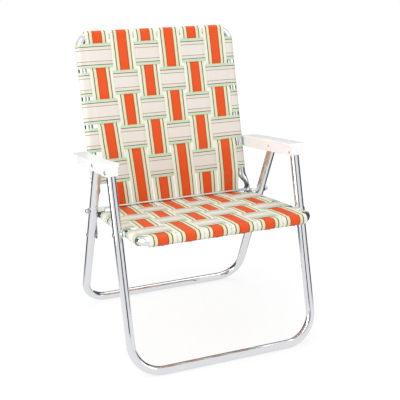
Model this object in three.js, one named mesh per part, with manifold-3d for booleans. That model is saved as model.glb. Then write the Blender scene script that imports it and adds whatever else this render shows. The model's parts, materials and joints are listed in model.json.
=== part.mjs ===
// A folding garden chair of round aluminium tube, woven with wide striped webbing, with white plastic arms.
// Millimetres. +X is to the right as the chair is seen from the front, +Y to the back, +Z up.
// The origin is on the floor under the middle of the chair, and left and right are as seen from the front.
import * as THREE from "three";
import { mergeVertices } from "three/addons/utils/BufferGeometryUtils.js";
import Module from "manifold-3d";

const wasm = await Module();
wasm.setup();

// Tube
const TUBE_RADIUS = 12.7;
const TUBE_WALL = 1.2;
const FLAT_GAP = 0.4;
const FLAT_HALF_HEIGHT = 17.5;

// Clearances
const SEAT_GAP = 0.3;
const PIN_PLAY = 0.3;
const OVERRUN = 5;

// Seat and back frames, at the axes of their tubes
const FRAME_HALF_WIDTH = 246.8;
const SEAT_LENGTH = 447.5;
const SEAT_SLOPE = THREE.MathUtils.degToRad(6.45);
const BACK_LENGTH = 529.8;
const BACK_TILT = THREE.MathUtils.degToRad(14.4);
const FRAME_BEND = 38;
const BACK_FLAT_RUN = 42;
const SEAT_FLAT_RUN = 25;
const ROD_RADIUS = 4;
const ROD_RISE = 10.6;
const ROD_TO_LOWER_PIN = 76.7;
const EYE_END = 15;

// Legs
const FRONT_RAIL_Y = -271.2;
const REAR_RAIL_Y = 277.6;
const FRONT_LEG_TILT = THREE.MathUtils.degToRad(14.87);
const REAR_LEG_TILT = THREE.MathUtils.degToRad(26.77);
const REAR_LEG_LENGTH = 593.9;
const LOWER_PIN_HEIGHT = 310;
const FRONT_BEND = 88;
const REAR_BEND = 76;
const LEG_STUB = 8.8;
const LEG_FROM_FRAME = 31.8;

// Webbing
const WEB_SIDE = 2.5;
const WEB_COLUMNS = 6;
const WEB_THICKNESS = 0.9;
const WEB_WRAP = THREE.MathUtils.degToRad(165);
const CREASE_DRIFT = 13;
const BACK_HOLLOW = 16;
const SEAT_HOLLOW = 8;

// How much of its pitch a long strap fills, and of its frame a cross strap fills, and their places on it
const columnShares = { fill: 0.9585 };
const backRowShares = { fill: 0.1397, places: [0.1208, 0.2818, 0.4428, 0.6038, 0.791] };
const seatRowShares = { fill: 0.1654, places: [0.1386, 0.3598, 0.5542, 0.752] };

// Towards the crease the long straps crowd together
const crowdShare = 0.05;

// Arms
const ARM_SLOPE = THREE.MathUtils.degToRad(7.2);
const ARM_TILT = THREE.MathUtils.degToRad(2.875);
const ARM_LEAD = 19;
const ARM_TAIL = 214.9;
const ARM_RISE = 25.8;
const ARM_DROP = 9.6;
const ARM_WALL = 2.6;
const ARM_TOP = 3.4;
const ARM_EDGE = 4.4;
const INNER_RIM = 6;
const OUTER_RIM = 17;

// Fasteners
const RIVET_RADIUS = 3.2;
const RIVET_HEAD = 6.4;
const RIVET_DOME = 2.4;
const PIVOT_RADIUS = 3.6;
const SPACER_RADIUS = 8;
const BOLT_RADIUS = 3;
const BOLT_HEAD = 5.6;
const BOLT_HEAD_LENGTH = 3.2;
const SLEEVE_RADIUS = 6.1;
const SLEEVE_LENGTH = 20.3;
const WASHER_RADIUS = 9;
const WASHER_THICKNESS = 1.8;
const CAP_RADIUS = 7.4;
const CAP_LENGTH = 9.4;

const TUBE_SIDES = 16;
const PIN_SIDES = 14;
const BEND_STEPS = 6;
const WRAP_STEPS = 7;
const RIGHT_ANGLE = Math.PI / 2;

const aluminium = { color: 0xd9dcde, roughness: 0.24, metalness: 1 };
const steel = { color: 0xb9bcbf, roughness: 0.35, metalness: 1 };
const plastic = { color: 0xf4f4f2, roughness: 0.4, metalness: 0 };
const nylon = { color: 0xe6e4dc, roughness: 0.55, metalness: 0 };
const orangeWeb = { color: 0xef6a2c, roughness: 0.7, metalness: 0 };
const mintWeb = { color: 0xbfeedd, roughness: 0.7, metalness: 0 };

const chair = new THREE.Group();

// Side view: every pivot is a point [y, z] worked out from the rails up.
const heading = (angle) => [Math.cos(angle), Math.sin(angle)];
const along = ([y, z], [dy, dz], length) => [y + dy * length, z + dz * length];
const crossing = (p, u, q, v) => {
  const run = ((q[0] - p[0]) * v[1] - (q[1] - p[1]) * v[0]) / (u[0] * v[1] - u[1] * v[0]);
  return along(p, u, run);
};
const spanOf = (p, q) => Math.hypot(q[0] - p[0], q[1] - p[1]);

const frontAngle = RIGHT_ANGLE - FRONT_LEG_TILT;
const rearAngle = RIGHT_ANGLE + REAR_LEG_TILT;
const backAngle = RIGHT_ANGLE - BACK_TILT;
const seatAngle = -SEAT_SLOPE;
const armAngle = -ARM_SLOPE;
const frontRail = [FRONT_RAIL_Y, TUBE_RADIUS];
const rearRail = [REAR_RAIL_Y, TUBE_RADIUS];
const armRearPin = along(rearRail, heading(rearAngle), REAR_LEG_LENGTH);
const armFrontPin = crossing(frontRail, heading(frontAngle), armRearPin, heading(armAngle + ARM_TILT));
const frontLegLength = spanOf(frontRail, armFrontPin);
const armLength = ARM_LEAD + spanOf(armFrontPin, armRearPin) + ARM_TAIL;
const lowerPin = along(rearRail, heading(rearAngle), LOWER_PIN_HEIGHT);
const rod = along(lowerPin, heading(backAngle), ROD_TO_LOWER_PIN);
const seatEnd = along(rod, heading(seatAngle + RIGHT_ANGLE), -ROD_RISE);
const seatFront = along(seatEnd, heading(seatAngle), -SEAT_LENGTH);
const seatPivot = crossing(frontRail, heading(frontAngle), seatFront, heading(seatAngle));
const webFace = TUBE_RADIUS + SEAT_GAP + WEB_THICKNESS / 2;
const webTop = webFace + WEB_THICKNESS / 2;
const stopRise = webTop + SEAT_GAP + SLEEVE_RADIUS;
const stopLine = along(seatFront, heading(seatAngle + RIGHT_ANGLE), stopRise);
const stopBolt = crossing(rearRail, heading(rearAngle), stopLine, heading(seatAngle));

// Places across the chair
const legX = FRAME_HALF_WIDTH + LEG_FROM_FRAME;
const frameOuter = FRAME_HALF_WIDTH + TUBE_RADIUS;
const frameInner = FRAME_HALF_WIDTH - TUBE_RADIUS;
const legInner = legX - TUBE_RADIUS;
const legOuter = legX + TUBE_RADIUS;
const plateHalf = TUBE_WALL + FLAT_GAP / 2;
const seatPlateX = frameOuter - plateHalf;
const backPlateX = frameOuter + SEAT_GAP + WEB_THICKNESS + SEAT_GAP + plateHalf;
const backPlateOuter = backPlateX + plateHalf;
const armInner = legInner - SEAT_GAP - ARM_WALL;
const armOuter = legOuter + SEAT_GAP + ARM_WALL;

function add(parent, name, geometry, look) {
  const mesh = new THREE.Mesh(geometry, new THREE.MeshStandardMaterial(look));
  mesh.name = name;
  parent.add(mesh);
  return mesh;
}

// A group whose own +Y runs along a line of the side view and whose +Z stands square to it.
function lineGroup([y, z], angle) {
  const group = new THREE.Group();
  group.position.set(0, y, z);
  group.rotation.x = angle;
  chair.add(group);
  return group;
}

function turnedOut(points, triangles) {
  let volume = 0;
  const corner = (i) => new THREE.Vector3(...points[i]);
  triangles.forEach(([a, b, c]) => {
    volume += corner(a).dot(corner(b).cross(corner(c)));
  });
  const index = volume < 0 ? triangles.map(([a, b, c]) => [a, c, b]) : triangles;
  const geometry = new THREE.BufferGeometry();
  geometry.setAttribute("position", new THREE.Float32BufferAttribute(points.flat(), 3));
  geometry.setIndex(index.flat());
  return geometry;
}

// Closed skin over rings of equal count; capOutline gives a ring as flat points for its end caps.
// The two halves of a ring are split along mirrored diagonals, so both faces of a strap stay parallel.
function skin(rings, capOutline) {
  const count = rings[0].length;
  const points = rings.flat();
  const triangles = [];
  for (let i = 0; i + 1 < rings.length; i += 1) {
    for (let j = 0; j < count; j += 1) {
      const next = (j + 1) % count;
      const a = i * count + j;
      const b = i * count + next;
      if (j < count / 2) triangles.push([a, b, b + count], [a, b + count, a + count]);
      else triangles.push([a, b, a + count], [b, b + count, a + count]);
    }
  }
  const caps = THREE.ShapeUtils.triangulateShape(capOutline, []);
  const turned = THREE.ShapeUtils.area(capOutline) > 0;
  const last = (rings.length - 1) * count;
  caps.forEach(([a, b, c]) => {
    const [p, q] = turned ? [b, c] : [c, b];
    triangles.push([a, q, p], [last + a, last + p, last + q]);
  });
  return turnedOut(points, triangles);
}

function solidOf(geometry) {
  const bare = geometry.clone();
  bare.deleteAttribute("normal");
  bare.deleteAttribute("uv");
  const merged = mergeVertices(bare, 1e-4);
  return new wasm.Manifold(
    new wasm.Mesh({
      numProp: 3,
      vertProperties: merged.attributes.position.array,
      triVerts: new Uint32Array(merged.index.array),
    }),
  );
}

function geometryOf(solid) {
  const { vertProperties, triVerts } = solid.getMesh();
  const geometry = new THREE.BufferGeometry();
  geometry.setAttribute("position", new THREE.BufferAttribute(vertProperties, 3));
  geometry.setIndex(new THREE.BufferAttribute(triVerts, 1));
  return geometry;
}

// A turned piece on the X axis, from a profile of [radius, x] points.
function turned(profile) {
  const points = profile.map(([radius, x]) => new THREE.Vector2(radius, x));
  const lathe = new THREE.LatheGeometry(points, PIN_SIDES);
  lathe.rotateZ(-RIGHT_ANGLE);
  const merged = solidOf(lathe);
  return merged.volume() < 0 ? geometryOf(solidOf(flipped(lathe))) : geometryOf(merged);
}

function flipped(geometry) {
  const copy = geometry.clone();
  const order = copy.index.array;
  for (let i = 0; i < order.length; i += 3) {
    [order[i + 1], order[i + 2]] = [order[i + 2], order[i + 1]];
  }
  return copy;
}

const ring = (inner, outer, from, to) =>
  turned([[inner, from], [outer, from], [outer, to], [inner, to], [inner, from]]);

// A hole along X through a piece, at s and h in the piece's own frame.
function boreAt(side, from, to, s, h, radius) {
  const [start, end] = [from - OVERRUN, to + OVERRUN];
  const drill = turned([[0, start], [radius, start], [radius, end], [0, end]]);
  if (side < 0) drill.rotateZ(Math.PI);
  drill.translate(0, s, h);
  return solidOf(drill);
}

// Tube section: round where flat is 0, pressed flat where it is 1.
function tubeRing({ x, s, turn, flat, shiftX, shiftH }, inset) {
  const half = THREE.MathUtils.lerp(TUBE_RADIUS, plateHalf, flat) - inset;
  const height = THREE.MathUtils.lerp(TUBE_RADIUS, FLAT_HALF_HEIGHT, flat) - inset;
  const pressed = 1 + 2 * flat;
  return Array.from({ length: TUBE_SIDES }, (_, j) => {
    const angle = ((j + 0.5) / TUBE_SIDES) * 2 * Math.PI;
    const across = half * THREE.MathUtils.clamp(pressed * Math.cos(angle), -1, 1);
    const up = height * Math.sin(angle);
    return [x + shiftX + across * Math.cos(turn), s + across * Math.sin(turn), up + shiftH];
  });
}

// Stations of a U of tube in its own plane: the rail lies at s = 0 and both ends at s = top.
function uStations(halfWidth, top, bend, endStations) {
  const rightSide = [...endStations];
  for (let i = 0; i <= BEND_STEPS; i += 1) {
    const turn = (i / BEND_STEPS) * RIGHT_ANGLE;
    rightSide.push({
      x: halfWidth - bend + bend * Math.cos(turn),
      s: top + bend - bend * Math.sin(turn),
      turn: -turn,
      flat: 0,
      shiftX: 0,
      shiftH: 0,
    });
  }
  const leftSide = rightSide
    .map((station) => ({ ...station, x: -station.x, turn: Math.PI - station.turn, shiftX: -station.shiftX }))
    .reverse();
  return [...rightSide, ...leftSide];
}

function sweep(stations, inset) {
  const rings = stations.map((station) => tubeRing(station, inset));
  const outline = Array.from({ length: TUBE_SIDES }, (_, j) => {
    const angle = ((j + 0.5) / TUBE_SIDES) * 2 * Math.PI;
    return new THREE.Vector2(Math.cos(angle), Math.sin(angle));
  });
  return solidOf(skin(rings, outline));
}

// The ends of the bore run past the ends of the tube.
function overrun(stations) {
  const first = stations[0];
  const last = stations[stations.length - 1];
  const out = Math.sign(first.s - stations[1].s) * OVERRUN;
  return [{ ...first, s: first.s + out }, ...stations.slice(1, -1), { ...last, s: last.s + out }];
}

function tubeFrame(stations, bores) {
  let frame = sweep(stations, 0).subtract(sweep(overrun(stations), TUBE_WALL));
  bores.forEach((bore) => {
    frame = frame.subtract(bore);
  });
  return geometryOf(frame);
}

// How far a tube is pressed flat along the run up to its flat end
const pressedShares = [
  { run: 0, flat: 1 },
  { run: 0.25, flat: 0.8 },
  { run: 0.5, flat: 0.4 },
  { run: 1, flat: 0 },
];

const plain = (x, s) => ({ x, s, turn: 0, flat: 0, shiftX: 0, shiftH: 0 });

// A leg frame: its rail rests on the floor and its open ends stand in the arms.
function legFrame(length, bend, pins) {
  const top = length + LEG_STUB;
  const stations = uStations(legX, 0, bend, [plain(legX, top)]);
  const bores = pins.flatMap(([s, radius]) =>
    [-1, 1].map((side) => boreAt(side, legInner, legOuter, s, 0, radius + PIN_PLAY)),
  );
  return tubeFrame(stations, bores);
}

// Web: a flat strap swept along a path of [run, height] points.
function strap(path, width, place) {
  const rings = path.map(([run, height], i) => {
    const before = path[Math.max(i - 1, 0)];
    const after = path[Math.min(i + 1, path.length - 1)];
    const length = spanOf(before, after);
    const across = [-(after[1] - before[1]) / length, (after[0] - before[0]) / length];
    const half = WEB_THICKNESS / 2;
    return [[half, 1], [-half, 1], [-half, -1], [half, -1]].map(([off, side]) =>
      place(run + across[0] * off, height + across[1] * off, (side * width) / 2),
    );
  });
  const outline = [[1, 1], [-1, 1], [-1, -1], [1, -1]].map(([x, y]) => new THREE.Vector2(x, y));
  return skin(rings, outline);
}

const rowNumbers = (count) => Array.from({ length: count }, (_, i) => i);
const weaveShift = (WEB_THICKNESS + SEAT_GAP) / 2;
const columnPitch = (2 * (frameInner - WEB_SIDE)) / WEB_COLUMNS;
const columnWidth = columnPitch * columnShares.fill;
const columnX = (column) => (column - (WEB_COLUMNS - 1) / 2) * columnPitch;

// The cross straps of a frame: where along it, how wide, and how far the rod draws the web in.
function crossRows(length, shares, hollow) {
  const width = length * shares.fill;
  const end = length * Math.max(...shares.places) + width / 2 + SEAT_GAP + WEB_THICKNESS;
  const place = (row) => length * shares.places[row];
  return { numbers: rowNumbers(shares.places.length), width, length, hollow, end, place };
}

// A point of the web: towards the crease the long straps drift aside and the web's middle is drawn in.
function webPoint(rows, x, s, h) {
  const pull = (Math.max(s, 0) / rows.length) ** 2;
  const between = Math.abs(x) < frameInner;
  const at = between ? x * (1 - crowdShare * pull) + CREASE_DRIFT * pull : x;
  const sag = between && s < rows.end ? rows.hollow * pull * (1 - (at / frameInner) ** 2) : 0;
  return [at, s, h - sag];
}

// Neighbouring crossings change sides, as in a plain weave.
const crossOver = (column, row) => ((column + row) % 2 === 0 ? 1 : -1);

const arc = (centre, radius, from, to) =>
  Array.from({ length: WRAP_STEPS + 1 }, (_, i) => {
    const angle = from + ((to - from) * i) / WRAP_STEPS;
    return [centre[0] + radius * Math.cos(angle), centre[1] + radius * Math.sin(angle)];
  });

// Where a line from a point touches a circle, on the side given by the sign.
function touch(point, centre, radius, sign) {
  const span = spanOf(point, centre);
  const lean = Math.asin(radius / span) * sign;
  const direct = Math.atan2(centre[1] - point[1], centre[0] - point[0]);
  const reach = Math.sqrt(span * span - radius * radius);
  return along(point, heading(direct + lean), reach);
}

// A cross strap wraps both side tubes and weaves through the columns between them.
function crossStrap(row, rows, wrap) {
  const right = arc([FRAME_HALF_WIDTH, 0], webFace, RIGHT_ANGLE, RIGHT_ANGLE - wrap);
  const left = right.map(([x, h]) => [-x, h]).reverse();
  const woven = [];
  for (let column = 0; column < WEB_COLUMNS; column += 1) {
    const height = webFace + weaveShift * crossOver(column, row);
    const reach = columnWidth / 2 + SEAT_GAP;
    woven.push([columnX(column) - reach, height], [columnX(column) + reach, height]);
  }
  const place = (x, h, across) => webPoint(rows, x, rows.place(row) + across, h);
  return strap([...left, ...woven, ...right], rows.width, place);
}

function wovenRun(column, rows) {
  return rows.numbers.flatMap((row) => {
    const height = webFace - weaveShift * crossOver(column, row);
    const reach = rows.width / 2 + SEAT_GAP;
    return [[rows.place(row) - reach, height], [rows.place(row) + reach, height]];
  });
}

const webRod = ROD_RADIUS + SEAT_GAP + WEB_THICKNESS / 2;

// Front legs
const frontLegs = lineGroup(frontRail, frontAngle);
const seatPivotRun = spanOf(frontRail, seatPivot);
add(
  frontLegs,
  "front_leg_frame",
  legFrame(frontLegLength, FRONT_BEND, [[frontLegLength, RIVET_RADIUS], [seatPivotRun, PIVOT_RADIUS]]),
  aluminium,
);

// Rear legs
const rearLegs = lineGroup(rearRail, rearAngle);
const stopRun = spanOf(rearRail, stopBolt);
add(
  rearLegs,
  "rear_leg_frame",
  legFrame(REAR_LEG_LENGTH, REAR_BEND, [
    [REAR_LEG_LENGTH, RIVET_RADIUS],
    [stopRun, BOLT_RADIUS],
    [LOWER_PIN_HEIGHT, RIVET_RADIUS],
  ]),
  aluminium,
);

// Seat frame: the rail is in front, and the pressed ends carry the rod at the back.
const seat = lineGroup(seatFront, seatAngle);
const seatFlat = (s, flat) => ({
  ...plain(FRAME_HALF_WIDTH, s),
  flat,
  shiftX: (seatPlateX - FRAME_HALF_WIDTH) * flat,
  shiftH: (ROD_RISE / 2) * flat,
});
const seatTail = SEAT_LENGTH + EYE_END;
const seatPressed = SEAT_LENGTH - EYE_END;
const seatStations = uStations(FRAME_HALF_WIDTH, 0, FRAME_BEND, [
  seatFlat(seatTail, 1),
  ...pressedShares.map(({ run, flat }) => seatFlat(seatPressed - SEAT_FLAT_RUN * run, flat)),
]);
const seatPivotOnSeat = spanOf(seatFront, seatPivot);
const seatBores = [-1, 1].flatMap((side) => [
  boreAt(side, frameInner, frameOuter, seatPivotOnSeat, 0, PIVOT_RADIUS + PIN_PLAY),
  boreAt(side, frameInner, frameOuter, SEAT_LENGTH, ROD_RISE, ROD_RADIUS + PIN_PLAY),
]);
add(seat, "seat_frame", tubeFrame(seatStations, seatBores), aluminium);

// Back frame: the rail is on top, and the pressed ends run down past the rod to the rear legs.
const topRail = along(rod, heading(backAngle), BACK_LENGTH);
const back = lineGroup(topRail, backAngle - Math.PI);
const backFlat = (s, flat) => ({
  ...plain(FRAME_HALF_WIDTH, s),
  flat,
  shiftX: (backPlateX - FRAME_HALF_WIDTH) * flat,
});
const backTail = BACK_LENGTH + ROD_TO_LOWER_PIN;
const backPressed = BACK_LENGTH - EYE_END;
const backStations = uStations(FRAME_HALF_WIDTH, 0, FRAME_BEND, [
  backFlat(backTail + EYE_END, 1),
  ...pressedShares.map(({ run, flat }) => backFlat(backPressed - BACK_FLAT_RUN * run, flat)),
]);
const backBores = [-1, 1].flatMap((side) => [
  boreAt(side, frameOuter, backPlateOuter, BACK_LENGTH, 0, ROD_RADIUS + PIN_PLAY),
  boreAt(side, frameOuter, backPlateOuter, backTail, 0, RIVET_RADIUS + PIN_PLAY),
]);
add(back, "back_frame", tubeFrame(backStations, backBores), aluminium);

// Webbing of the back, numbered from the top and from the left. Heights are to the front of the frame.
const backRows = crossRows(BACK_LENGTH, backRowShares, BACK_HOLLOW);
const toBack = ([x, s, h]) => [x, s, -h];
backRows.numbers.forEach((row) => {
  const geometry = crossStrap(row, backRows, WEB_WRAP);
  geometry.scale(1, 1, -1);
  add(back, `back_cross_strap_${row + 1}`, flipped(geometry), mintWeb);
});
rowNumbers(WEB_COLUMNS).forEach((column) => {
  const over = arc([0, 0], webFace, RIGHT_ANGLE + WEB_WRAP, RIGHT_ANGLE);
  const run = wovenRun(column, backRows);
  const end = touch(run[run.length - 1], [BACK_LENGTH, 0], webRod, -1);
  const path = [...over, ...run, end];
  const place = (s, h, across) => toBack(webPoint(backRows, columnX(column) + across, s, h));
  add(back, `back_long_strap_${column + 1}`, strap(path, columnWidth, place), orangeWeb);
});

// Webbing of the seat, numbered from the front.
const seatRows = crossRows(SEAT_LENGTH, seatRowShares, SEAT_HOLLOW);
seatRows.numbers.forEach((row) => {
  const fromPivot = Math.abs(seatRows.place(row) - seatPivotOnSeat);
  const overPivot = RIGHT_ANGLE - Math.asin((SPACER_RADIUS + WEB_THICKNESS + SEAT_GAP) / webFace);
  const wrap = fromPivot > seatRows.width / 2 + SPACER_RADIUS ? WEB_WRAP : overPivot;
  const geometry = crossStrap(row, seatRows, wrap);
  add(seat, `seat_cross_strap_${row + 1}`, geometry, mintWeb);
});
rowNumbers(WEB_COLUMNS).forEach((column) => {
  const over = arc([0, 0], webFace, RIGHT_ANGLE + WEB_WRAP, RIGHT_ANGLE);
  const run = wovenRun(column, seatRows);
  const end = touch(run[run.length - 1], [SEAT_LENGTH, ROD_RISE], webRod, -1);
  const place = (s, h, across) => webPoint(seatRows, columnX(column) + across, s, h);
  const path = [...over, ...run, end];
  add(seat, `seat_long_strap_${column + 1}`, strap(path, columnWidth, place), orangeWeb);
});

// Arms: a moulded channel, open below, that hugs the tops of both legs.
const armShares = [
  { run: 0, top: 0.8, drop: 0.7, inRim: 0.5, outRim: 0.8, narrow: 0 },
  { run: 0.012, top: 1, drop: 1, inRim: 1, outRim: 1, narrow: 0 },
  { run: 0.08, top: 1, drop: 1, inRim: 1, outRim: 1, narrow: 0 },
  { run: 0.3, top: 1, drop: 1, inRim: 0, outRim: 1, narrow: 0 },
  { run: 0.62, top: 1, drop: 1, inRim: 0, outRim: 1, narrow: 0 },
  { run: 0.84, top: 1, drop: 1, inRim: 0, outRim: 0.95, narrow: 0 },
  { run: 0.94, top: 0.94, drop: 0.85, inRim: 0, outRim: 0.78, narrow: 0.06 },
  { run: 0.985, top: 0.8, drop: 0.4, inRim: 0, outRim: 0.45, narrow: 0.2 },
  { run: 1, top: 0.6, drop: -0.4, inRim: 0, outRim: 0.15, narrow: 0.45 },
];
const armChannelShares = { front: 0.008, level: 0.72, rear: 0.9 };

function armRing({ run, top, drop, inRim, outRim, narrow }, side) {
  const s = run * armLength - ARM_LEAD;
  const draw = ((armOuter - armInner) / 2) * narrow;
  const inWall = armInner + draw;
  const outWall = armOuter - draw;
  const inEdge = inWall - INNER_RIM * inRim;
  const outEdge = outWall + OUTER_RIM * outRim;
  const high = ARM_RISE * top;
  const low = -ARM_DROP * drop;
  const under = Math.max(high - ARM_EDGE, low + ARM_EDGE / 4);
  const outline = [
    [inWall, low],
    [inWall, under],
    [inEdge, under],
    [inEdge, high - ARM_EDGE / 4],
    [inEdge + ARM_EDGE / 3, high],
    [outEdge - ARM_EDGE / 3, high],
    [outEdge, high - ARM_EDGE / 4],
    [outEdge, under],
    [outWall, under],
    [outWall, low],
  ];
  return outline.map(([x, h]) => [x * side, s, h]);
}

function armBody(side, pinsOnArm) {
  const rings = armShares.map((share) => armRing(share, side));
  // End rings keep a sliver of rim so that no two of their points meet.
  const widest = armRing(armShares[2], 1).map(([x, , h]) => new THREE.Vector2(x, h));
  const body = solidOf(skin(rings, widest));
  const front = armChannelShares.front * armLength - ARM_LEAD;
  const rear = armChannelShares.rear * armLength - ARM_LEAD;
  const ceiling = ARM_RISE - ARM_TOP;
  const shallow = ceiling * armShares[6].top - ARM_WALL;
  const floor = -ARM_DROP - OVERRUN;
  const wallIn = armInner + ARM_WALL;
  const wallOut = armOuter - ARM_WALL;
  const box = (s, high, draw) =>
    [[wallIn + draw, floor], [wallIn + draw, high], [wallOut - draw, high], [wallOut - draw, floor]]
      .map(([x, h]) => [x * side, s, h]);
  const level = armChannelShares.level * armLength - ARM_LEAD;
  const channel = skin(
    [box(front, ceiling, 0), box(level, ceiling, 0), box(rear, shallow, ARM_WALL)],
    [[1, -1], [1, 1], [2, 1], [2, -1]].map(([x, y]) => new THREE.Vector2(x, y)),
  );
  let arm = body.subtract(solidOf(channel));
  pinsOnArm.forEach(([s, h]) => {
    arm = arm.subtract(boreAt(side, armInner, armOuter + OUTER_RIM, s, h, RIVET_RADIUS + PIN_PLAY));
  });
  return geometryOf(arm);
}

const inArm = ([y, z]) => {
  const [dy, dz] = [y - armFrontPin[0], z - armFrontPin[1]];
  const [c, s] = heading(armAngle);
  return [dy * c + dz * s, dz * c - dy * s];
};
const armPins = [[0, 0], inArm(armRearPin)];

// Fasteners. Each is turned on the right-hand side and turned round for the left.
function fastener(name, side, [y, z], geometry, look) {
  const mesh = add(chair, `${name}_${side < 0 ? "left" : "right"}`, geometry, look);
  mesh.position.set(0, y, z);
  if (side < 0) mesh.rotation.z = Math.PI;
}

const domeShares = { rim: 0.4, rimOut: 0.92, crown: 0.9, crownOut: 0.6 };
const capShares = { straight: 0.45, shoulder: 0.8, shoulderOut: 0.8, crown: 0.97, crownOut: 0.4 };

// The profile of a rivet's dome, from its rim to its middle.
const dome = (head, rise, at, way) => [
  [head, at],
  [head * domeShares.rimOut, at + way * rise * domeShares.rim],
  [head * domeShares.crownOut, at + way * rise * domeShares.crown],
  [0, at + way * rise],
];

const domed = (shank, from, to) =>
  turned([[0, from], [shank, from], [shank, to], ...dome(RIVET_HEAD, RIVET_DOME, to, 1)]);

const armRivet = domed(RIVET_RADIUS, armInner, armOuter + SEAT_GAP);
const legRivet = domed(RIVET_RADIUS, legInner + SEAT_GAP, legOuter + SEAT_GAP);
const pivotFrom = frameInner - SEAT_GAP;
const pivotTo = legOuter + SEAT_GAP;
const seatRivet = turned([
  ...dome(RIVET_HEAD, RIVET_DOME, pivotFrom, -1).reverse(),
  [PIVOT_RADIUS, pivotFrom],
  [PIVOT_RADIUS, pivotTo],
  ...dome(RIVET_HEAD, RIVET_DOME, pivotTo, 1),
]);
const seatSpacer = ring(PIVOT_RADIUS + PIN_PLAY, SPACER_RADIUS, frameOuter + SEAT_GAP, legInner - SEAT_GAP);
const plateFace = backPlateOuter + SEAT_GAP;
const lowerWasher = ring(RIVET_RADIUS + PIN_PLAY, SPACER_RADIUS, plateFace, legInner - SEAT_GAP);
const plateRivetFrom = backPlateX - plateHalf;
const lowerRivet = ring(0, RIVET_RADIUS, plateRivetFrom, legInner - SEAT_GAP);
const sleeveTo = legInner - SEAT_GAP;
const sleeveFrom = sleeveTo - SLEEVE_LENGTH;
const boltFrom = sleeveFrom - SEAT_GAP;
const stopSleeve = ring(BOLT_RADIUS + PIN_PLAY, SLEEVE_RADIUS, sleeveFrom, sleeveTo);
const washerTo = legOuter + SEAT_GAP + WASHER_THICKNESS;
const stopWasher = ring(BOLT_RADIUS + PIN_PLAY, WASHER_RADIUS, legOuter + SEAT_GAP, washerTo);
const capFrom = washerTo + SEAT_GAP;
const boltTo = capFrom + CAP_LENGTH / 2;
const stopBoltBody = turned([
  [0, boltFrom - BOLT_HEAD_LENGTH],
  [BOLT_HEAD, boltFrom - BOLT_HEAD_LENGTH],
  [BOLT_HEAD, boltFrom],
  [BOLT_RADIUS, boltFrom],
  [BOLT_RADIUS, boltTo],
  [0, boltTo],
]);
const stopCap = turned([
  [0, boltTo + PIN_PLAY],
  [BOLT_RADIUS + PIN_PLAY, boltTo + PIN_PLAY],
  [BOLT_RADIUS + PIN_PLAY, capFrom],
  [CAP_RADIUS, capFrom],
  [CAP_RADIUS, capFrom + CAP_LENGTH * capShares.straight],
  [CAP_RADIUS * capShares.shoulderOut, capFrom + CAP_LENGTH * capShares.shoulder],
  [CAP_RADIUS * capShares.crownOut, capFrom + CAP_LENGTH * capShares.crown],
  [0, capFrom + CAP_LENGTH],
]);
const rodEnd = legInner - SEAT_GAP;
const rodWasher = ring(ROD_RADIUS + PIN_PLAY, SPACER_RADIUS, plateFace, rodEnd);

[-1, 1].forEach((side) => {
  const hand = side < 0 ? "left" : "right";
  const arm = lineGroup(armFrontPin, armAngle);
  add(arm, `arm_${hand}`, armBody(side, armPins), plastic);
  fastener("arm_front_rivet", side, armFrontPin, armRivet, steel);
  fastener("arm_rear_rivet", side, armRearPin, armRivet, steel);
  fastener("seat_pivot_rivet", side, seatPivot, seatRivet, steel);
  fastener("seat_spacer", side, seatPivot, seatSpacer, nylon);
  fastener("lower_back_washer", side, lowerPin, lowerWasher, nylon);
  fastener("lower_back_rivet", side, lowerPin, lowerRivet, steel);
  fastener("lower_back_rivet_head", side, lowerPin, legRivet, steel);
  fastener("stop_sleeve", side, stopBolt, stopSleeve, nylon);
  fastener("stop_bolt", side, stopBolt, stopBoltBody, steel);
  fastener("stop_washer", side, stopBolt, stopWasher, steel);
  fastener("stop_cap", side, stopBolt, stopCap, steel);
  fastener("rod_washer", side, rod, rodWasher, steel);
});
const rodBody = add(chair, "crease_rod", ring(0, ROD_RADIUS, -rodEnd, rodEnd), steel);
rodBody.position.set(0, ...rod);

export default chair;
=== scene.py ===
"""A folding garden chair: polished aluminium tube, wide striped webbing and white plastic arms."""
import json
import math
from functools import partial

import bmesh
import bpy
from bpy.props import FloatProperty, FloatVectorProperty, IntProperty, PointerProperty
from mathutils import Matrix, Vector, noise


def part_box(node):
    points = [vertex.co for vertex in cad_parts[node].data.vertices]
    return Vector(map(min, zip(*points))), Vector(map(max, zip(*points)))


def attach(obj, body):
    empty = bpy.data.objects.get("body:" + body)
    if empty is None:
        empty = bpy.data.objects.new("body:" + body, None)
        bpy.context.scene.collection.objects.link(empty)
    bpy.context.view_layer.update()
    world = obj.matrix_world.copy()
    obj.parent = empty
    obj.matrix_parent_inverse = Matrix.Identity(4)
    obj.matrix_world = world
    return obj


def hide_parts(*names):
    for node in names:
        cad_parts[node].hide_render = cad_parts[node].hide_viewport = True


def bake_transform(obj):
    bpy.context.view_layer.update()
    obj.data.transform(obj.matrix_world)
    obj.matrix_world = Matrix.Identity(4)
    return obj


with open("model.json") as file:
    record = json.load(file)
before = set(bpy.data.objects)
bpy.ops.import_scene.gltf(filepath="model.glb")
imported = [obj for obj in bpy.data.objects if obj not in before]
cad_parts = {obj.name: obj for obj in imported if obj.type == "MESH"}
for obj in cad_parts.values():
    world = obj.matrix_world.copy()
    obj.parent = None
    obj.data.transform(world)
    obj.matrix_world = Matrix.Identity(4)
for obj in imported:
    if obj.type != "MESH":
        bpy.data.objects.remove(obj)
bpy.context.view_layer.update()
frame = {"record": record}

bl_info = {
    "name": "Folding garden chair",
    "version": (1, 0, 0),
    "blender": (4, 5, 0),
    "location": "View3D > Sidebar > Chair",
    "description": "Dresses the packed chair with tube, webbing, arms and fasteners",
    "category": "Add Mesh",
}

HANDS = {"left": -1, "right": 1}
MM = 0.001
RIGHT_ANGLE = math.pi / 2
TUBE_RADIUS = 12.7 * MM
FRAME_INSET = 31.8 * MM  # from the middle of a leg to that of the seat's or back's side tube


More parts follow.
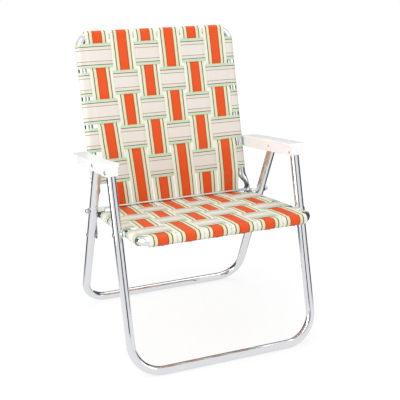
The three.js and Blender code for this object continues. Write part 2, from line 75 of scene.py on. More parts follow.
# ---- Places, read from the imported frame

def middle(node):
    """The middle of a CAD node's box, on the chair's middle plane."""
    low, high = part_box(node)
    return Vector((0, (low.y + high.y) / 2, (low.z + high.z) / 2))


def rail(node, back, up):
    """The axis of a rail that is the outermost tube of its frame in y and z."""
    low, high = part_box(node)
    y = high.y - TUBE_RADIUS if back else low.y + TUBE_RADIUS
    z = high.z - TUBE_RADIUS if up else low.z + TUBE_RADIUS
    return Vector((0, y, z))


def line(origin, toward):
    """A frame whose y runs along a line of the side view and whose z stands square to it."""
    run = (toward - origin).normalized()
    lift = Vector((1, 0, 0)).cross(run)
    return Matrix((
        (1, run.x, lift.x, origin.x),
        (0, run.y, lift.y, origin.y),
        (0, run.z, lift.z, origin.z),
        (0, 0, 0, 1),
    ))


ARM_FRONT_PIN = middle("arm_front_rivet_left")
ARM_REAR_PIN = middle("arm_rear_rivet_left")
SEAT_PIN = middle("seat_pivot_rivet_left")
LOWER_PIN = middle("lower_back_rivet_left")
ROD = middle("crease_rod")
FRONT_RAIL = rail("front_leg_frame", False, False)
REAR_RAIL = rail("rear_leg_frame", True, False)
SEAT_RAIL = rail("seat_frame", False, True)
TOP_RAIL = rail("back_frame", True, True)
FRONT_LEG = line(FRONT_RAIL, ARM_FRONT_PIN)
REAR_LEG = line(REAR_RAIL, ARM_REAR_PIN)
SEAT = line(SEAT_RAIL, SEAT_PIN)
BACK = line(ROD, TOP_RAIL)
ARM_UP = Vector(frame["record"]["mounts"][0]["axis"])
ARM = line(ARM_FRONT_PIN, ARM_FRONT_PIN + ARM_UP.cross(Vector((1, 0, 0))))
ROD_ON_SEAT = SEAT.inverted() @ ROD
BACK_LENGTH = (TOP_RAIL - ROD).length
LEG_X = (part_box("front_leg_frame")[1].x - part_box("front_leg_frame")[0].x) / 2 - TUBE_RADIUS
FRAME_X = LEG_X - FRAME_INSET


# ---- Sizes and colours a user would change

def metres(name, description, default):
    return FloatProperty(name=name, description=description, default=default, unit="LENGTH")


def tint(name, description, red, green, blue):
    default = (red, green, blue, 1)
    return FloatVectorProperty(
        name=name, description=description, subtype="COLOR", size=4, default=default)


class ChairSizes(bpy.types.PropertyGroup):
    tube_radius: metres("Tube radius", "Outside radius of the tube", TUBE_RADIUS)
    tube_wall: metres("Tube wall", "Thickness of the tube's wall", 1.2 * MM)
    tube_sides: IntProperty(name="Tube sides", description="Faces round a tube", default=40)
    frame_bend: metres("Frame bend", "Bend radius of the seat and back frames", 38 * MM)
    front_bend: metres("Front leg bend", "Bend radius of the front legs", 88 * MM)
    rear_bend: metres("Rear leg bend", "Bend radius of the rear legs", 76 * MM)
    leg_stub: metres("Leg stub", "Length of a leg above its rivet in the arm", 8.8 * MM)
    web_width: metres("Web width", "Width of a strap", 74 * MM)
    web_thickness: metres("Web thickness", "Thickness of a strap", 1.0 * MM)
    web_lift: metres("Weave lift", "How far a strap rises over and dips under another", 0.95 * MM)
    web_wrap: FloatProperty(
        name="Web wrap", description="Angle of the tube that a strap's end wraps",
        default=math.radians(200), subtype="ANGLE",
    )
    back_hollow: metres("Back hollow", "How far the rod draws the back's webbing in", 16 * MM)
    seat_hollow: metres("Seat hollow", "How far the rod draws the seat's webbing down", 8 * MM)
    crease_drift: metres("Crease drift", "How far the long straps have slid aside on the rod", 13 * MM)
    crowding: FloatProperty(
        name="Crowding", description="How much closer the long straps lie on the rod", default=0.05,
    )
    hem: metres("Hem", "Length of a strap's end that is folded back", 13 * MM)
    rivet_lip: metres("Rivet lip", "How far a rivet's rolled end stands out of the arm", 0.8 * MM)


class ChairColours(bpy.types.PropertyGroup):
    aluminium: tint("Aluminium", "Polished tube", 0.73, 0.74, 0.76)
    steel: tint("Steel", "Rivets, bolts and rod", 0.62, 0.63, 0.64)
    plastic: tint("Arm plastic", "Moulded arms", 0.92, 0.92, 0.92)
    nylon: tint("Nylon", "Spacers and sleeves", 0.72, 0.71, 0.66)
    orange: tint("Orange", "Middle of the long straps", 0.80, 0.076, 0.002)
    rust: tint("Rust", "Line that frames the orange", 0.27, 0.080, 0.020)
    cream: tint("Cream", "Pale band beside the orange", 0.83, 0.71, 0.46)
    ivory: tint("Ivory", "Edge of the long straps", 0.82, 0.85, 0.69)
    sage: tint("Sage", "Edge of the cross straps", 0.59, 0.71, 0.51)
    sand: tint("Sand", "Band beside the middle of the cross straps", 0.78, 0.71, 0.63)
    pale: tint("Pale", "Middle of the cross straps", 0.80, 0.745, 0.68)
    brown: tint("Brown", "Thin line", 0.055, 0.025, 0.015)
    olive: tint("Olive", "Thin line", 0.14, 0.15, 0.06)
    floor: tint("Floor", "Studio floor", 0.93, 0.93, 0.93)


def sizes():
    return bpy.context.scene.chair_sizes


def colours():
    return bpy.context.scene.chair_colours


# ---- Materials

def feed_socket(tree, socket, value):
    if isinstance(value, bpy.types.NodeSocket):
        tree.links.new(value, socket)
    elif value is not None:
        socket.default_value = value


def feed(tree, node, **sockets):
    """Links or sets a node's inputs, whose names have _ for a space here."""
    for name, value in sockets.items():
        feed_socket(tree, node.inputs[name.replace("_", " ")], value)
    return node


def added(tree, kind, **sockets):
    return feed(tree, tree.nodes.new("ShaderNode" + kind), **sockets)


def math_node(tree, operation, first, second=None, clamp=False):
    """The result of a Math node whose inputs are sockets or numbers."""
    node = added(tree, "Math")
    node.operation = operation
    node.use_clamp = clamp
    feed_socket(tree, node.inputs[0], first)
    feed_socket(tree, node.inputs[1], second)
    return node.outputs[0]


def vector_node(tree, operation, first, second=None):
    """The number that a Vector Math node makes."""
    node = added(tree, "VectorMath")
    node.operation = operation
    feed_socket(tree, node.inputs[0], first)
    feed_socket(tree, node.inputs[1], second)
    return node.outputs["Value"]


def ranged(tree, value, low, high):
    """A 0 to 1 value spread from low to high."""
    return added(tree, "MapRange", Value=value, To_Min=low, To_Max=high).outputs["Result"]


def bumped(tree, shader, height, strength, distance):
    bump = added(tree, "Bump", Strength=strength, Distance=distance, Height=height)
    feed(tree, shader, Normal=bump.outputs["Normal"])


def mixed(tree, mask, first, second, blend="MIX"):
    """A colour mixed by a mask; first and second are sockets or plain colours."""
    node = added(tree, "Mix")
    node.data_type = "RGBA"
    node.blend_type = blend
    return feed(tree, node, Factor=mask, A=first, B=second).outputs["Result"]


def darker(colour, share):
    return tuple(channel * share for channel in colour[:3]) + (1,)


def object_place(tree):
    """A point's place in its object, in metres."""
    return added(tree, "TexCoord").outputs["Object"]


def uv_axes(tree, layer):
    """A piece's own map in metres, and both its axes."""
    uv = added(tree, "UVMap")
    uv.uv_map = layer
    split = added(tree, "SeparateXYZ", Vector=uv.outputs["UV"])
    return uv.outputs["UV"], split.outputs["X"], split.outputs["Y"]


def node_group(name, inputs, outputs):
    """An empty shader group, and its input and output nodes."""
    group = bpy.data.node_groups.new(name, "ShaderNodeTree")
    for socket, kind, default in inputs:
        made = group.interface.new_socket(socket, in_out="INPUT", socket_type="NodeSocket" + kind)
        if default is not None:
            made.default_value = default
    for socket in outputs:
        group.interface.new_socket(socket, in_out="OUTPUT", socket_type="NodeSocketFloat")
    return group, group.nodes.new("NodeGroupInput"), group.nodes.new("NodeGroupOutput")


def weave_group():
    """Flat yarns over and under each other: a height, and how deep a point lies between yarns (for
    painted shade).
    """
    group, given, out = node_group(
        "woven_yarns",
        [("Across", "Float", 0.0), ("Along", "Float", 0.0),
         ("Warp pitch", "Float", 1.6 * MM), ("Weft pitch", "Float", 2.1 * MM)],
        ["Height", "Shade"],
    )
    calc = partial(math_node, group)
    waves = []
    for place, pitch in (("Across", "Warp pitch"), ("Along", "Weft pitch")):
        share = calc("DIVIDE", given.outputs[place], given.outputs[pitch])
        waves.append(calc("SINE", calc("MULTIPLY", share, math.pi)))
    warp, weft = [calc("POWER", calc("ABSOLUTE", wave), 0.6) for wave in waves]
    side = calc("GREATER_THAN", calc("MULTIPLY", *waves), 0.0)
    weft_top = calc("MULTIPLY", weft, calc("SUBTRACT", 1.0, side))
    height = calc("ADD", calc("MULTIPLY", warp, side), calc("MULTIPLY", weft_top, 0.85))
    feed(group, out, Height=height, Shade=calc("POWER", height, 0.5, clamp=True))


def wear_group():
    """Handling marks: broad dull patches and fine scratches, as two masks."""
    group, given, out = node_group(
        "handling_marks",
        [("Vector", "Vector", None), ("Patch scale", "Float", 9.0), ("Scratch scale", "Float", 240.0)],
        ["Patches", "Scratches"],
    )
    place, patch_scale, scratch_scale = given.outputs[:3]
    patches = added(group, "TexNoise", Vector=place, Scale=patch_scale, Detail=4)
    scratches = added(group, "TexNoise", Vector=place, Scale=scratch_scale, Detail=6, Roughness=0.7)
    strong = math_node(group, "SUBTRACT", scratches.outputs["Fac"], 0.56)
    sharp = math_node(group, "MULTIPLY", strong, 6.0, clamp=True)
    feed(group, out, Patches=patches.outputs["Fac"], Scratches=sharp)


def placed_group(tree, name, **sockets):
    node = added(tree, "Group")
    node.node_tree = bpy.data.node_groups[name]
    return feed(tree, node, **sockets)


def new_material(name, **sockets):
    """A new material's nodes and its Principled shader."""
    material = bpy.data.materials.new(name)
    material.use_nodes = True
    tree = material.node_tree
    return tree, feed(tree, tree.nodes["Principled BSDF"], **sockets)


# Painted shade: the colour that darkens the webbing between its yarns, where shade falls in the weave.
YARN_GAP_SHADE = (0.42, 0.36, 0.30, 1)
STRIPE_SWAY = 1.6 * MM
STRIPE_BLUR = 0.012  # half the width of the change between two stripes, as a share


def web_material(name, stripes, edge):
    """Striped webbing with painted shade between its yarns. Stripes are (share of the half width,
    colour) from the middle to the edge.
    """
    tree, shader = new_material(name, Roughness=0.55, Specular_IOR_Level=0.22)
    calc = partial(math_node, tree)
    vector, across, along = uv_axes(tree, "cloth")
    drift = added(tree, "TexNoise", Vector=vector, Scale=26, Detail=2)
    sway = calc("MULTIPLY", calc("SUBTRACT", drift.outputs["Fac"], 0.5), STRIPE_SWAY)
    share = calc("DIVIDE", calc("ABSOLUTE", calc("ADD", across, sway)), sizes().web_width / 2)
    ramp = added(tree, "ValToRGB", Fac=share)
    elements = ramp.color_ramp.elements
    elements[0].position, elements[0].color = 0.0, stripes[0][1]
    elements[1].position, elements[1].color = 1.0, edge
    for (end, colour), (_, following) in zip(stripes, stripes[1:] + [(1.0, edge)]):
        elements.new(end - STRIPE_BLUR).color = colour
        elements.new(end + STRIPE_BLUR).color = following
    yarns = placed_group(tree, "woven_yarns", Across=across, Along=along)
    marks = placed_group(tree, "handling_marks", Vector=vector, Patch_scale=14.0, Scratch_scale=420.0)
    # Painted shade: the stripe colour is multiplied up to 0.3 of the way towards the yarn gap colour,
    # most deeply between the yarns.
    hollow = ranged(tree, yarns.outputs["Shade"], 0.30, 0.0)
    shaded = mixed(tree, hollow, ramp.outputs["Color"], YARN_GAP_SHADE, "MULTIPLY")
    faded = mixed(tree, ranged(tree, marks.outputs["Patches"], 0.0, 0.02), shaded, (1, 1, 1, 1))
    feed(tree, shader, Base_Color=faded, Roughness=ranged(tree, yarns.outputs["Height"], 0.66, 0.44))
    bumped(tree, shader, yarns.outputs["Height"], strength=0.5, distance=0.35 * MM)


def metal_material(name, colour, roughness, layer=None):
    """Metal with drawn lines along the tube where it has a map, and handling marks everywhere."""
    tree, shader = new_material(name, Base_Color=colour, Metallic=1.0, Roughness=roughness)
    if layer:
        vector, _, _ = uv_axes(tree, layer)
        lines = added(tree, "Mapping", Vector=vector, Scale=(1.0, 0.012, 1.0)).outputs["Vector"]
    else:
        vector = lines = object_place(tree)
    drawn = placed_group(tree, "handling_marks", Vector=lines, Patch_scale=110.0, Scratch_scale=1400.0)
    handled = placed_group(tree, "handling_marks", Vector=vector, Patch_scale=16.0, Scratch_scale=260.0)
    dull = math_node(tree, "MULTIPLY", drawn.outputs["Patches"], handled.outputs["Patches"])
    scratched = ranged(tree, handled.outputs["Scratches"], 0.0, 0.22)
    feed(
        tree, shader, Roughness=ranged(tree, dull, roughness * 0.55, roughness * 2.3),
        Base_Color=mixed(tree, scratched, colour, darker(colour, 0.72)),
    )
    bumped(tree, shader, drawn.outputs["Scratches"], strength=0.10, distance=0.05 * MM)


def plastic_material(name, colour, roughness, coat):
    """Moulded plastic: a fine grain from the mould and slightly soiled patches."""
    tree, shader = new_material(
        name, Base_Color=colour, Roughness=roughness, Coat_Weight=coat, Coat_Roughness=0.25)
    marks = placed_group(
        tree, "handling_marks", Vector=object_place(tree), Patch_scale=13.0, Scratch_scale=900.0)
    patches = marks.outputs["Patches"]
    feed(
        tree, shader, Roughness=ranged(tree, patches, roughness * 0.8, roughness * 1.3),
        Base_Color=mixed(tree, ranged(tree, patches, 0.0, 0.16), colour, darker(colour, 0.86)),
    )
    bumped(tree, shader, marks.outputs["Scratches"], strength=0.12, distance=0.08 * MM)


def build_materials():
    weave_group()
    wear_group()
    tints = {key: tuple(getattr(colours(), key)) for key in ChairColours.__annotations__}
    metal_material("polished_aluminium", tints["aluminium"], 0.06, "tube")
    metal_material("plated_steel", tints["steel"], 0.30)
    plastic_material("arm_plastic", tints["plastic"], 0.36, 0.15)
    plastic_material("nylon", tints["nylon"], 0.5, 0.0)
    web_material("long_webbing", [
        (0.345, tints["orange"]), (0.42, tints["rust"]), (0.655, tints["cream"]), (0.73, tints["brown"]),
    ], tints["ivory"])
    web_material("cross_webbing", [
        (0.44, tints["pale"]), (0.48, tints["olive"]), (0.715, tints["sand"]), (0.77, tints["brown"]),
    ], tints["sage"])


# ---- Mesh helpers

def added_object(name, data):
    """A new object in the scene."""
    made = bpy.data.objects.new(name, data)
    bpy.context.scene.collection.objects.link(made)
    return made


def finished(name, bm, material, smooth_angle=0.7):
    """A named object made of a bmesh, with its place in its mesh."""
    mesh = bpy.data.meshes.new(name)
    bm.to_mesh(mesh)
    bm.free()
    mesh.materials.append(bpy.data.materials[material])
    mesh.shade_smooth()
    mesh.set_sharp_from_angle(angle=smooth_angle)
    return added_object(name, mesh)


def laid_grid(rows, layer, across, along, closed=False):
    """A flat grid of cloth or sheet metal, laid on rows of points.

    Across and along are the map's places of a row's points and of the rows. A closed grid is
    rolled up: its last column is joined to its first.
    """
    columns = len(across)
    bm = bmesh.new()
    bm.loops.layers.uv.new(layer)
    bmesh.ops.create_grid(bm, x_segments=columns - 1, y_segments=len(rows) - 1, size=0.5, calc_uvs=True)
    uv = bm.loops.layers.uv[layer]
    spots = {}
    for vert in bm.verts:
        i = round((vert.co.x + 0.5) * (columns - 1))
        j = round((vert.co.y + 0.5) * (len(rows) - 1))
        spots[vert] = (i, j)
    for face in bm.faces:
        for loop in face.loops:
            i, j = spots[loop.vert]
            loop[uv].uv = (across[i], along[j])
    for vert, (i, j) in spots.items():
        vert.co = rows[j][i % len(rows[j])]
    if closed:
        bmesh.ops.remove_doubles(bm, verts=bm.verts, dist=1e-6)
    return bm


def outward(bm):
    bmesh.ops.recalc_face_normals(bm, faces=bm.faces)


def closed_ends(bm):
    bmesh.ops.holes_fill(bm, edges=[e for e in bm.edges if e.is_boundary], sides=0)
    outward(bm)


def thickened(piece, thickness):
    """Gives a sheet its thickness, half to each side."""
    wall = piece.modifiers.new("wall", "SOLIDIFY")
    wall.thickness = thickness
    wall.offset = 0
    wall.use_even_offset = True


def bevelled(piece, width):
    edge = piece.modifiers.new("edge", "BEVEL")
    edge.width = width
    edge.segments = 2
    edge.limit_method = "ANGLE"
    edge.angle_limit = 0.6


def dress(piece, body, slot, *nodes):
    """Rides a piece on its body and hides the CAD nodes that it stands for. Its slot is not used."""
    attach(piece, body)
    if nodes:
        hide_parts(*nodes)


def lengths(points):
    """The distance along a row of points, from 0 at the first."""
    total = [0.0]
    for before, after in zip(points, points[1:]):
        total.append(total[-1] + (Vector(after) - Vector(before)).length)
    return total


def spread(low, high, count):
    """Evenly spaced values, with both ends among them."""
    return [low + (high - low) * i / (count - 1) for i in range(count)]


def smooth(share):
    """A share eased at both ends, from 0 to 1."""
    share = min(max(share, 0.0), 1.0)
    return share * share * (3 - 2 * share)


# ---- Tubes

# A station is (x, s, turn, flat, shift_x, shift_h, tip): the section's middle on the frame, how far
# it is turned about the frame's normal, how flat it is pressed, its shift and its share of height.
BEND_STEPS = 14
PLATE = (1.4 * MM, 17.5 * MM)  # half the thickness and half the height of a pressed end
EYE = 15 * MM  # from a pressed end's hole to its tip
SEAT_PRESS = 25 * MM  # over which a pressed end eases into the round tube
BACK_PRESS = 42 * MM
PLATE_GAP = 1.5 * MM  # between the seat's side and the back's pressed end


def tube_ring(place, station, radius):
    """A section of the tube: round where flat is 0, pressed where it is 1."""
    x, s, turn, flat, shift_x, shift_h, tip = station
    half = radius + (PLATE[0] - radius) * flat
    height = (radius + (PLATE[1] - radius) * flat) * tip
    pressed = 1 + 2 * flat
    ring = []
    for angle in spread(0, 2 * math.pi, sizes().tube_sides + 1)[:-1]:
        across = half * min(max(pressed * math.cos(angle), -1), 1)
        ring.append(place @ Vector((
            x + shift_x + across * math.cos(turn),
            s + across * math.sin(turn),
            height * math.sin(angle) + shift_h,
        )))
    return ring


def u_stations(half, rail_s, way, bend, ends):
    """Stations of a U of tube: its rail lies at rail_s, and way points from its ends to the rail."""
    right = list(ends)
    for turn in spread(0, RIGHT_ANGLE, BEND_STEPS):
        right.append((
            half - bend + bend * math.cos(turn),
            rail_s - way * (bend - bend * math.sin(turn)),
            way * turn, 0, 0, 0, 1,
        ))
    left = [(-x, s, math.pi - turn, flat, -shift_x, shift_h, tip)
            for x, s, turn, flat, shift_x, shift_h, tip in reversed(right)]
    return right + left


def tube(name, place, stations, wall=0):
    """A bent tube rolled from a strip: pressed and closed at its ends, or open with a wall."""
    radius = sizes().tube_radius
    rings = [tube_ring(place, station, radius) for station in stations]
    if wall:
        rings += [tube_ring(place, station, radius - wall) for station in reversed(stations)]
        rings.append(rings[0])
    centres = [sum(ring, Vector()) / len(ring) for ring in rings]
    around = spread(0, 2 * math.pi * radius, sizes().tube_sides + 1)
    bm = laid_grid(rings, "tube", around, lengths(centres), closed=True)
    closed_ends(bm)
    return finished(name, bm, "polished_aluminium")


def leg_frame(name, body, node, place, pin, bend):
    """A U of tube from its rail up to the arm, with open ends a stub above the pin."""
    length = (pin - place.translation).length + sizes().leg_stub
    stations = u_stations(LEG_X, 0, -1, bend, [(LEG_X, length, 0, 0, 0, 0, 1)])
    dress(tube(name, place, stations, sizes().tube_wall), body, "tube", node)


def pressed_ends(first, last, run, shift_x, shift_h, way):
    """Stations from a flat, rounded eye to the round tube: flat up to last, then eased over run."""
    stations = []
    for beyond in spread(EYE, 0, 6):
        tip = math.sqrt(max(1 - (beyond / PLATE[1]) ** 2, 0))
        stations.append((FRAME_X, first - way * beyond, 0, 1, shift_x, shift_h, tip))
    stations.append((FRAME_X, last, 0, 1, shift_x, shift_h, 1))
    for share in spread(0, 1, 9)[1:]:
        flat = 1 - smooth(share)
        stations.append((FRAME_X, last + way * run * share, 0, flat, shift_x * flat, shift_h * flat, 1))
    return stations


class CHAIR_OT_legs(bpy.types.Operator):
    """Front and rear legs: a U of tube each, with open ends in the arms"""
    bl_idname = "garden_chair.legs"
    bl_label = "Leg frames"

    def execute(self, context):
        front, rear = sizes().front_bend, sizes().rear_bend
        leg_frame("front_leg_tube", "front_legs", "front_leg_frame", FRONT_LEG, ARM_FRONT_PIN, front)
        leg_frame("rear_leg_tube", "rear_legs", "rear_leg_frame", REAR_LEG, ARM_REAR_PIN, rear)
        return {"FINISHED"}


class CHAIR_OT_frames(bpy.types.Operator):
    """Seat and back frames: a U of tube each, pressed flat where the rod goes through"""
    bl_idname = "garden_chair.frames"
    bl_label = "Seat and back frames"

    def execute(self, context):
        seat_x = TUBE_RADIUS - PLATE[0]
        back_x = TUBE_RADIUS + PLATE_GAP + PLATE[0]
        bend = sizes().frame_bend
        end, rise = ROD_ON_SEAT.y, ROD_ON_SEAT.z / 2
        ends = pressed_ends(end, end - EYE, SEAT_PRESS, seat_x, rise, -1)
        seat = tube("seat_tube", SEAT, u_stations(FRAME_X, 0, -1, bend, ends))
        dress(seat, "seat", "tube", "seat_frame")
        ends = pressed_ends((BACK.inverted() @ LOWER_PIN).y, EYE, BACK_PRESS, back_x, 0, 1)
        back = tube("back_tube", BACK, u_stations(FRAME_X, BACK_LENGTH, 1, bend, ends))
        dress(back, "back", "tube", "back_frame")
        return {"FINISHED"}


# ---- Webbing

WEB_FACE = 13.35 * MM  # from a tube's axis to the middle of the strap on it
ROD_FACE = 4.35 * MM  # from the rod's axis to the strap's inside
WEB_COLUMNS = 6
# Each frame's place, where its rail lies on it, the way from there to the rod, how far that is, its
# number of cross straps and where the noise of their edges starts.
WEBS = {
    "back": (BACK, BACK_LENGTH, -1, BACK_LENGTH, 5, 50),
    "seat": (SEAT, 0, 1, ROD_ON_SEAT.y, 4, 70),
}
WEB_SIDE = 2.5 * MM  # free stretch between a side tube and the outermost strap's share of the width
SIDE_FADE = 4 * MM
WEAVE_FADE = 22 * MM  # over which the weave flattens out at either end
WEAVE_END = 46 * MM  # woven stretch past the middle of the last cross strap
NOTCH_RADIUS = 8.8 * MM
NOTCH_OUT = 6 * MM  # a notch opens only what lies farther out from the side tube's axis
EDGE_SWAY = 0.5 * MM
EDGE_SWELL = 0.006
WEAVE_STEEPNESS = 5
HEM_GAP = 1.16  # from the strap to its hem, in thicknesses
HEM_STEPS = 6
WRAP_STEPS = 22
CROSS_STEPS = 151
LONG_STEPS = 120
ROD_STEPS = 12
INNER_X = FRAME_X - TUBE_RADIUS
COLUMN_PITCH = 2 * (INNER_X - WEB_SIDE) / WEB_COLUMNS
STRAP_SHARES = (-1, -0.97, -0.72, -0.36, 0, 0.36, 0.72, 0.97, 1)


def drifted(x, pull):
    """Where a place across the web ends up: towards the rod the long straps crowd and slide aside."""
    inside = smooth((INNER_X + SIDE_FADE - abs(x)) / SIDE_FADE)
    return x + (sizes().crease_drift - x * sizes().crowding) * pull * inside


def web_point(body, x, s, h):
    """A point of a frame's webbing in the chair, where s runs from the frame's rail to the rod.

    The rod draws the middle of the web in.
    """
    place, rail_s, way, length, _, _ = WEBS[body]
    pull = min(max(s / length, 0), 1) ** 2
    x = drifted(x, pull)
    h -= getattr(sizes(), f"{body}_hollow") * pull * max(1 - (x / INNER_X) ** 2, 0)
    return place @ Vector((x, rail_s + way * s, h))


def weave_height(place, centres, first_sign):
    """A strap's rise over and dip under the straps whose middles lie at centres, from 1 to -1."""
    phase = (place - centres[0]) / (centres[1] - centres[0])
    for k, (before, after) in enumerate(zip(centres, centres[1:])):
        if place > before:
            phase = k + (place - before) / (after - before)
    wave = WEAVE_STEEPNESS * math.cos(math.pi * phase) * first_sign
    return wave / (1 + abs(wave) ** 3) ** (1 / 3)


def arc(centre, radius, start, end, count):
    return [(centre[0] + radius * math.cos(angle), centre[1] + radius * math.sin(angle))
            for angle in spread(start, end, count)]


def wrapped_end(centre, face, start, end):
    """The hem, the turn at the strap's very end and the wrap round the tube, from the hem on."""
    way = 1 if start < end else -1
    gap = sizes().web_thickness * HEM_GAP
    outer, fold = face + gap, gap / 2
    hem = arc(centre, outer, start + sizes().hem / outer * way, start, HEM_STEPS)
    cos, sin = math.cos(start), math.sin(start)
    turn = []
    for angle in spread(0, math.pi, HEM_STEPS)[1:-1]:
        out = face + fold + math.cos(angle) * fold
        past = -way * math.sin(angle) * fold
        turn.append((centre[0] + out * cos - past * sin, centre[1] + out * sin + past * cos))
    return hem + turn + arc(centre, face, start, end, WRAP_STEPS)


def touch(point, centre, radius, side):
    """Where a line from a point touches a circle, on the given side."""
    off = Vector(centre) - Vector(point)
    lean = math.asin(radius / off.length) * side
    angle = math.atan2(off.y, off.x) + lean
    reach = math.sqrt(off.length ** 2 - radius ** 2)
    return (point[0] + math.cos(angle) * reach, point[1] + math.sin(angle) * reach)


def woven(runs, centres, first_sign, ends):
    """Points of a woven stretch; the weave fades out towards the ends."""
    points = []
    for run in runs:
        fade = smooth((run - ends[0]) / WEAVE_FADE) * smooth((ends[1] - run) / WEAVE_FADE)
        points.append((run, WEB_FACE + sizes().web_lift * fade * weave_height(run, centres, first_sign)))
    return points


def strap_offsets(travel, seed):
    """Places across a strap at a run along it; its edges waver a little."""
    half = sizes().web_width / 2
    sway = EDGE_SWAY * noise.noise(Vector((travel * 9, seed * 3.7, 0)))
    swell = 1 + EDGE_SWELL * noise.noise(Vector((travel * 15, seed * 5.1, 4)))
    return [half * share * swell + sway for share in STRAP_SHARES]


def strap(rows):
    """A strap laid on rows of points, and its length."""
    run = lengths([row[len(row) // 2] for row in rows])
    half = sizes().web_width / 2
    return laid_grid(rows, "cloth", [half * share for share in STRAP_SHARES], run), run[-1]


def cross_rows(body, row, s):
    """A cross strap's rows, from the left tube's underside over the columns to the right one's."""
    left = wrapped_end((-FRAME_X, 0), WEB_FACE, RIGHT_ANGLE + sizes().web_wrap, RIGHT_ANGLE)
    right = [(-x, h) for x, h in reversed(left)]
    runs = spread(-FRAME_X, FRAME_X, CROSS_STEPS)[1:-1]
    columns = [column_x(column) for column in range(WEB_COLUMNS)]
    run = woven(runs, columns, over(0, row), (-FRAME_X, FRAME_X))
    return [[web_point(body, x, s + off, h) for off in strap_offsets(x, WEBS[body][5] + row)]
            for x, h in left + run + right]


def column_x(column):
    return (column - (WEB_COLUMNS - 1) / 2) * COLUMN_PITCH


def row_run(body, row):
    """How far a cross strap's middle lies from its frame's rail."""
    place, rail_s, way, _, _, _ = WEBS[body]
    low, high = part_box(f"{body}_cross_strap_{row + 1}")
    return way * ((place.inverted() @ ((low + high) / 2)).y - rail_s)


def row_runs(body):
    return [row_run(body, row) for row in range(WEBS[body][4])]


def over(column, row):
    """1 where the cross strap lies over the long one, and -1 where it lies under."""
    return 1 if (column + row) % 2 == 0 else -1


def notch(bm, centre, radius, side):
    """Opens a place for a spacer on the X axis in the wrapped end of a strap."""
    def offset(co):
        return Vector((0, co.y - centre.y, co.z - centre.z))
    near = []
    for face in bm.faces:
        at = face.calc_center_median()
        if at.x * side > FRAME_X + NOTCH_OUT and offset(at).length < radius:
            near.append(face)
    rim = {vert for face in near for vert in face.verts}
    kept = {vert for vert in rim if any(face not in near for face in vert.link_faces)}
    bmesh.ops.delete(bm, geom=near, context="FACES")
    for vert in kept:
        away = offset(vert.co)
        if away.length < radius:
            vert.co += away.normalized() * radius - away


class CHAIR_OT_cross_straps(bpy.types.Operator):
    """Cross straps of the seat and back, wrapped round the side tubes"""
    bl_idname = "garden_chair.cross_straps"
    bl_label = "Cross straps"

    def execute(self, context):
        pivot = (SEAT.inverted() @ SEAT_PIN).y
        for body in WEBS:
            for row, s in enumerate(row_runs(body)):
                bm, length = strap(cross_rows(body, row, s))
                if body == "seat" and abs(s - pivot) < sizes().web_width / 2 + NOTCH_RADIUS:
                    for side in HANDS.values():
                        notch(bm, SEAT_PIN, NOTCH_RADIUS, side)
                piece = finished(f"{body}_cross_web_{row + 1}", bm, "cross_webbing", math.pi)
                thickened(piece, sizes().web_thickness)
                dress(piece, body, "cross_web", f"{body}_cross_strap_{row + 1}")
        return {"FINISHED"}


def web_run(body, column):
    """A long strap's stretch on a frame, from the hem under its rail to the last woven place."""
    places = row_runs(body)
    end = places[-1] + WEAVE_END
    hem = wrapped_end((0, 0), WEB_FACE, RIGHT_ANGLE + sizes().web_wrap, RIGHT_ANGLE)
    return hem + woven(spread(0, end, LONG_STEPS)[1:], places, -over(column, 0), (0, end))


def rows_between(before, after, count):
    """Rows that lead straight from one row to another, without both."""
    return [[a.lerp(b, share) for a, b in zip(before, after)] for share in spread(0, 1, count)[1:-1]]


def long_rows(column):
    """A long strap's rows, from under the front rail round the rod and over the top rail."""
    face = ROD_FACE + sizes().web_thickness / 2
    x = column_x(column)
    whole = ROD_ON_SEAT.y + BACK_LENGTH
    seat = [[web_point("seat", x + off, s, h) for off in strap_offsets(s, column)]
            for s, h in web_run("seat", column)]
    back = [[web_point("back", x + off, s, h) for off in strap_offsets(whole - s, column)]
            for s, h in reversed(web_run("back", column))]
    centre = (ROD.y, ROD.z)
    ends = []
    for row, side in ((seat[-1], -1), (back[0], 1)):
        spine = row[len(row) // 2]
        y, z = touch((spine.y, spine.z), centre, face, side)
        ends.append(math.atan2(z - centre[1], y - centre[0]))
    offsets = strap_offsets(ROD_ON_SEAT.y, column)
    bend = [[Vector((drifted(x + off, 1), y, z)) for off in offsets]
            for y, z in arc(centre, face, *ends, ROD_STEPS)]
    return seat + rows_between(seat[-1], bend[0], 5) + bend + rows_between(bend[-1], back[0], 9) + back


class CHAIR_OT_long_straps(bpy.types.Operator):
    """Long straps, each one length from the front rail round the rod to the top rail"""
    bl_idname = "garden_chair.long_straps"
    bl_label = "Long straps"

    def execute(self, context):
        for column in range(WEB_COLUMNS):
            bm, length = strap(long_rows(column))
            piece = finished(f"long_web_{column + 1}", bm, "long_webbing", math.pi)
            thickened(piece, sizes().web_thickness)
            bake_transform(piece)
            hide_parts(f"back_long_strap_{column + 1}", f"seat_long_strap_{column + 1}")
        return {"FINISHED"}


# ---- Turned pieces

def spun(bm, profile, place, segments):
    """Spins a profile of (radius, x) points about the X axis of a place."""
    verts = [bm.verts.new(place @ Vector((x, 0, radius))) for radius, x in profile]
    edges = [bm.edges.new(pair) for pair in zip(verts, verts[1:])]
    bmesh.ops.spin(
        bm, geom=verts + edges, cent=place.translation, axis=place.col[0].to_3d(), dvec=(0, 0, 0),
        angle=2 * math.pi, steps=segments, use_merge=True, use_duplicate=False)


def dome(radius, rise, at, way):
    """Profile of a rivet's dome, from its rim to its middle."""
    return [(radius * math.cos(t), at + way * rise * math.sin(t)) for t in spread(0, RIGHT_ANGLE, 6)]


def on_axis(node, side):
    """A place at the axis of a turned node, whose X points outwards on that side."""
    turn = Matrix.Rotation(0 if side > 0 else math.pi, 4, "Z")
    return Matrix.Translation(middle(node)) @ turn


def reach_of(node, side):
    """The nearest and farthest X of a node from the middle plane, and its radius."""
    low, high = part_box(node)
    near, far = (low.x, high.x) if side > 0 else (-high.x, -low.x)
    return near, far, (high.z - low.z) / 2


